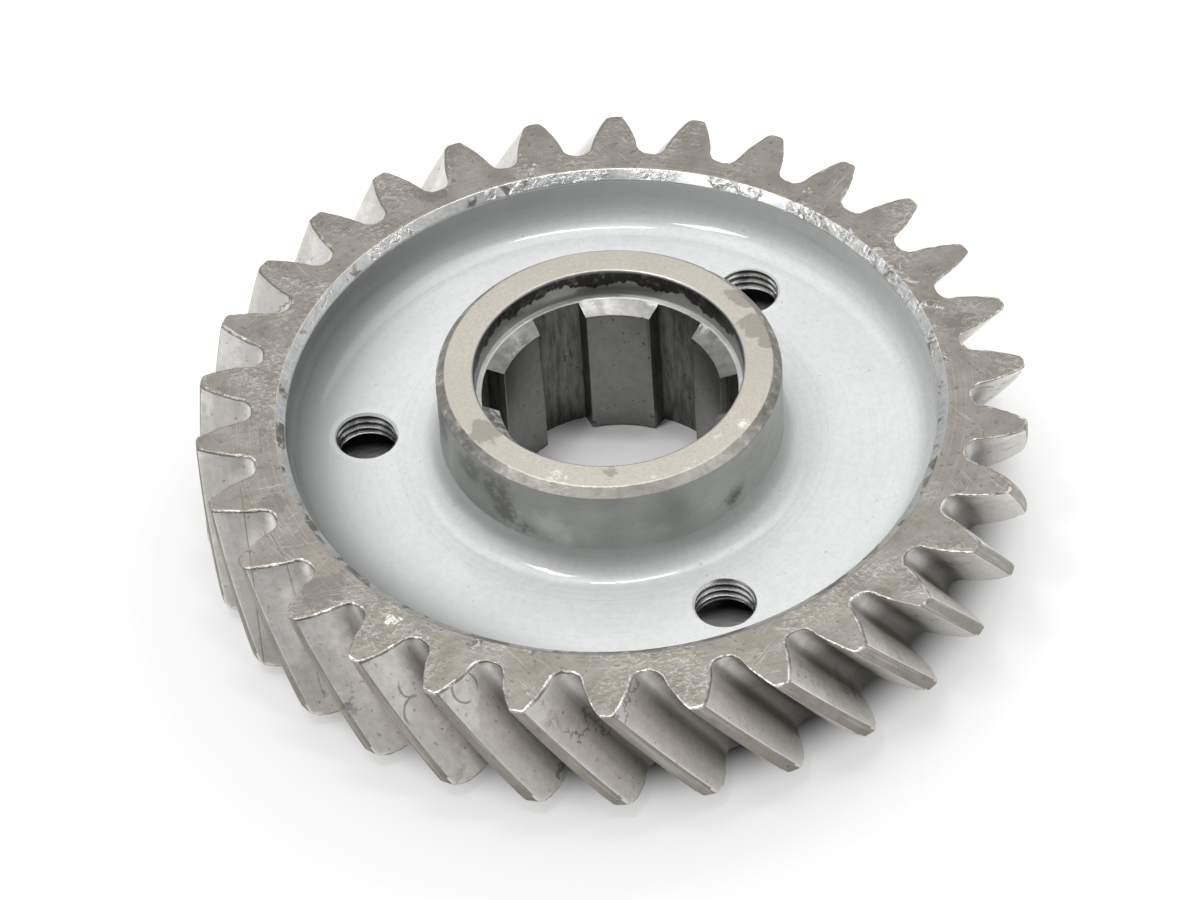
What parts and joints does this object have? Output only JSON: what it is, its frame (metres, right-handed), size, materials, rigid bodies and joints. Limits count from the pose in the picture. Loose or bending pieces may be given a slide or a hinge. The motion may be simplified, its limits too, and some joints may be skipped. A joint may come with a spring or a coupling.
{
  "type": "helical gear wheel",
  "caption": "Helical gear wheel with a recessed web, threaded puller holes and a raised hub that takes a straight-sided splined shaft.",
  "frame": {"origin": "centre of the hub's lower end face, on which the wheel rests", "axes": "+Z along the wheel's axis towards the hub's raised end; +X through the middle of one spline groove"},
  "size_m": [0.0976, 0.0974, 0.0235],
  "materials": {
    "steel": "used bare steel on the teeth and faces, smooth satin grey in the recesses"
  },
  "bodies": {
    "root": {"gear_wheel": "steel"}
  },
  "joints": []
}
